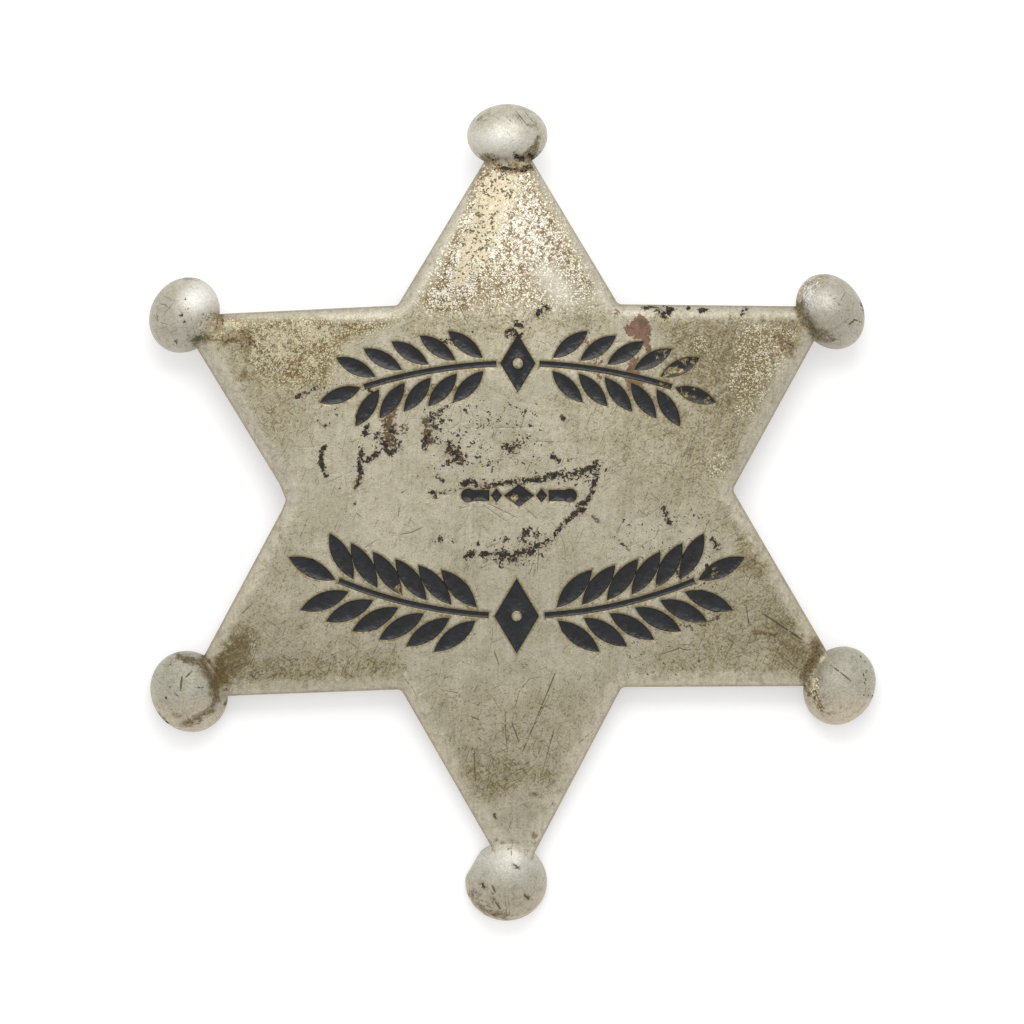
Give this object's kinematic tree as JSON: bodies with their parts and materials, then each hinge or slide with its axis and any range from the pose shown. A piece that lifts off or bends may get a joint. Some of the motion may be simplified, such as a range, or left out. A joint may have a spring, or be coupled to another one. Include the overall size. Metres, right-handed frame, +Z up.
{
  "type": "ball-tipped star badge",
  "caption": "Worn ball-tipped six-pointed star badge in nickel silver, with black enamelled leaf sprays and a small divider on its face and a brooch pin on its back.",
  "frame": {"origin": "middle of the bottom of the whole box, on the surface that the badge lies on", "axes": "+Z up, away from the wearer, +Y towards the top point of the star, +X to the right as seen from the front"},
  "size_m": [0.0623, 0.0699, 0.0074],
  "materials": {
    "nickel_silver": "worn and tarnished satin nickel silver",
    "black_enamel": "glossy black enamel, pitted",
    "pin_metal": "dull unpolished nickel silver"
  },
  "bodies": {
    "root": {"star_plate": "nickel_silver", "upper_spray_enamel": "black_enamel", "centre_enamel": "black_enamel", "lower_spray_enamel": "black_enamel", "brooch_pin": "pin_metal"}
  },
  "joints": []
}
